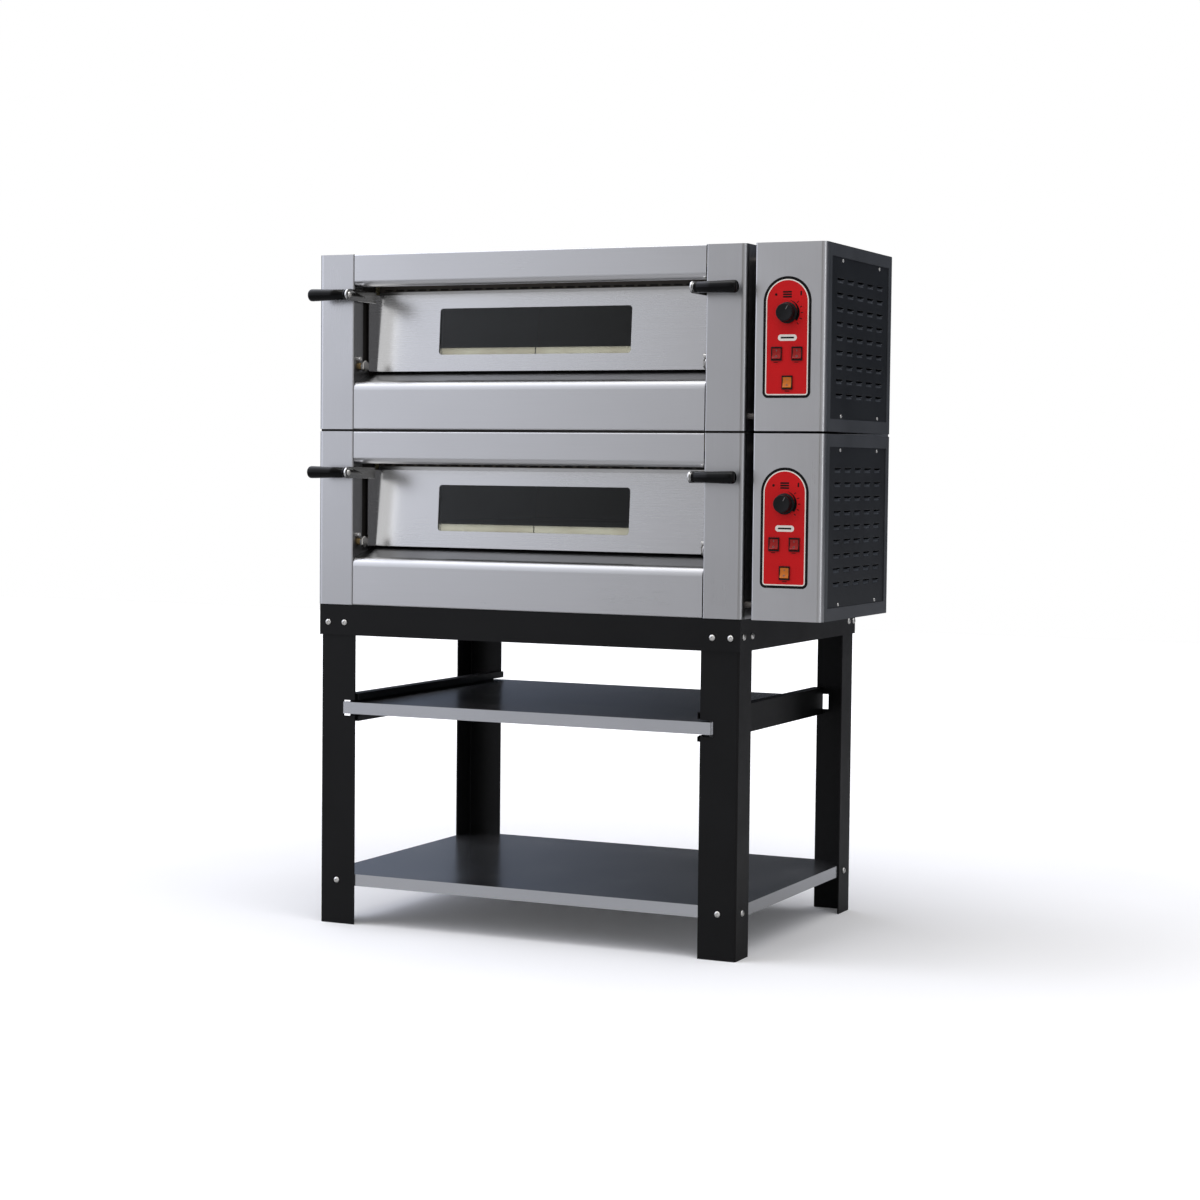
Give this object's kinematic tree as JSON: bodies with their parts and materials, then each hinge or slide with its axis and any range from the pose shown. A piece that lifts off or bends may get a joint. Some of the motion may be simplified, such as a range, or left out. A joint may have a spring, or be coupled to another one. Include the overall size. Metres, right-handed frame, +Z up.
{
  "type": "double-deck electric pizza oven on a stand",
  "caption": "Double-deck electric pizza oven with drop-down glazed doors and a side control box, on an open black stand with a fixed shelf and a pull-out shelf.",
  "frame": {"origin": "centre of the footprint, on the floor", "axes": "+Z up, -Y towards the front with the doors, +X towards the control boxes"},
  "size_m": [1.1, 0.9498, 1.3725],
  "materials": {
    "aluminised": "aluminised steel liner",
    "black_paint": "satin black powder coat",
    "black_plastic": "glossy black moulded plastic",
    "brass": "plain brass",
    "dark_paint": "dark grey painted sheet",
    "door_glass": "dark tempered oven glass",
    "heater": "oxidised heater sheath",
    "label": "red printed face plate",
    "lamp_glass": "clear domed lamp glass",
    "orange_plastic": "translucent orange rocker",
    "red_plastic": "translucent red rocker",
    "stainless": "satin brushed stainless sheet",
    "stone": "refractory baking stone",
    "wool": "mineral wool blanket",
    "zinc": "bright zinc-plated steel"
  },
  "bodies": {
    "frame": {"back_panels": "stainless", "baking_stones": "stone", "base_panels": "aluminised", "box_spacers": "zinc", "cable_glands": "black_plastic", "control_labels": "label", "cross_rails": "black_paint", "heating_elements": "heater", "hinge_bolts": "zinc", "hinge_bushes": "brass", "insulation": "wool", "legs": "black_paint", "lower_bottom_fascia": "stainless", "lower_chamber_panels": "aluminised", "lower_control_cover": "dark_paint", "lower_control_front": "stainless", "lower_louvre_panel": "black_paint", "lower_mouth_surround": "black_paint", "lower_pillars": "stainless", "lower_shelf": "stainless", "lower_side_panels": "stainless", "lower_top_fascia": "stainless", "oven_lamps": "lamp_glass", "panel_screws": "zinc", "shelf_runners": "black_paint", "side_rails": "black_paint", "stand_bolts": "zinc", "steam_outlets": "stainless", "stop_pins": "zinc", "switch_bodies": "black_plastic", "thermostats": "black_plastic", "top_panels": "stainless", "upper_bottom_fascia": "stainless", "upper_chamber_panels": "aluminised", "upper_control_cover": "dark_paint", "upper_control_front": "stainless", "upper_louvre_panel": "black_paint", "upper_mouth_surround": "black_paint", "upper_pillars": "stainless", "upper_side_panels": "stainless", "upper_top_fascia": "stainless"},
    "lower_door": {"lower_door_skin": "stainless", "lower_door_inner": "aluminised", "lower_door_glass": "door_glass", "lower_door_levers": "stainless", "lower_door_grips": "black_plastic"},
    "lower_knob_body": {"lower_knob": "black_plastic"},
    "lower_red_rocker_left_body": {"lower_red_rocker_left": "red_plastic"},
    "lower_red_rocker_right_body": {"lower_red_rocker_right": "red_plastic"},
    "lower_orange_rocker_body": {"lower_orange_rocker": "orange_plastic"},
    "upper_door": {"upper_door_skin": "stainless", "upper_door_inner": "aluminised", "upper_door_glass": "door_glass", "upper_door_levers": "stainless", "upper_door_grips": "black_plastic"},
    "upper_knob_body": {"upper_knob": "black_plastic"},
    "upper_red_rocker_left_body": {"upper_red_rocker_left": "red_plastic"},
    "upper_red_rocker_right_body": {"upper_red_rocker_right": "red_plastic"},
    "upper_orange_rocker_body": {"upper_orange_rocker": "orange_plastic"},
    "shelf_tray": {"sliding_shelf": "stainless"}
  },
  "joints": [
    {"name": "lower_door_hinge", "type": "hinge", "parent": "frame", "child": "lower_door", "pos_m": [-0.08, -0.3945, 0.789], "axis": [1, 0, 0], "range_deg": [0, 94]},
    {"name": "lower_thermostat_turn", "type": "hinge", "parent": "frame", "child": "lower_knob_body", "pos_m": [0.474, -0.4225, 0.8815], "axis": [0, 1, 0], "range_deg": [-30, 240]},
    {"name": "lower_red_rocker_left_tilt", "type": "hinge", "parent": "frame", "child": "lower_red_rocker_left_body", "pos_m": [0.453, -0.421, 0.805], "axis": [1, 0, 0], "range_deg": [0, 12]},
    {"name": "lower_red_rocker_right_tilt", "type": "hinge", "parent": "frame", "child": "lower_red_rocker_right_body", "pos_m": [0.494, -0.421, 0.805], "axis": [1, 0, 0], "range_deg": [0, 12]},
    {"name": "lower_orange_rocker_tilt", "type": "hinge", "parent": "frame", "child": "lower_orange_rocker_body", "pos_m": [0.475, -0.421, 0.751], "axis": [1, 0, 0], "range_deg": [0, 12]},
    {"name": "upper_door_hinge", "type": "hinge", "parent": "frame", "child": "upper_door", "pos_m": [-0.08, -0.3945, 1.1475], "axis": [1, 0, 0], "range_deg": [0, 94]},
    {"name": "upper_thermostat_turn", "type": "hinge", "parent": "frame", "child": "upper_knob_body", "pos_m": [0.474, -0.4225, 1.24], "axis": [0, 1, 0], "range_deg": [-30, 240]},
    {"name": "upper_red_rocker_left_tilt", "type": "hinge", "parent": "frame", "child": "upper_red_rocker_left_body", "pos_m": [0.453, -0.421, 1.1635], "axis": [1, 0, 0], "range_deg": [0, 12]},
    {"name": "upper_red_rocker_right_tilt", "type": "hinge", "parent": "frame", "child": "upper_red_rocker_right_body", "pos_m": [0.494, -0.421, 1.1635], "axis": [1, 0, 0], "range_deg": [0, 12]},
    {"name": "upper_orange_rocker_tilt", "type": "hinge", "parent": "frame", "child": "upper_orange_rocker_body", "pos_m": [0.475, -0.421, 1.1095], "axis": [1, 0, 0], "range_deg": [0, 12]},
    {"name": "shelf_slide", "type": "slide", "parent": "frame", "child": "shelf_tray", "axis": [0, -1, 0], "range_m": [0, 0.42]}
  ]
}
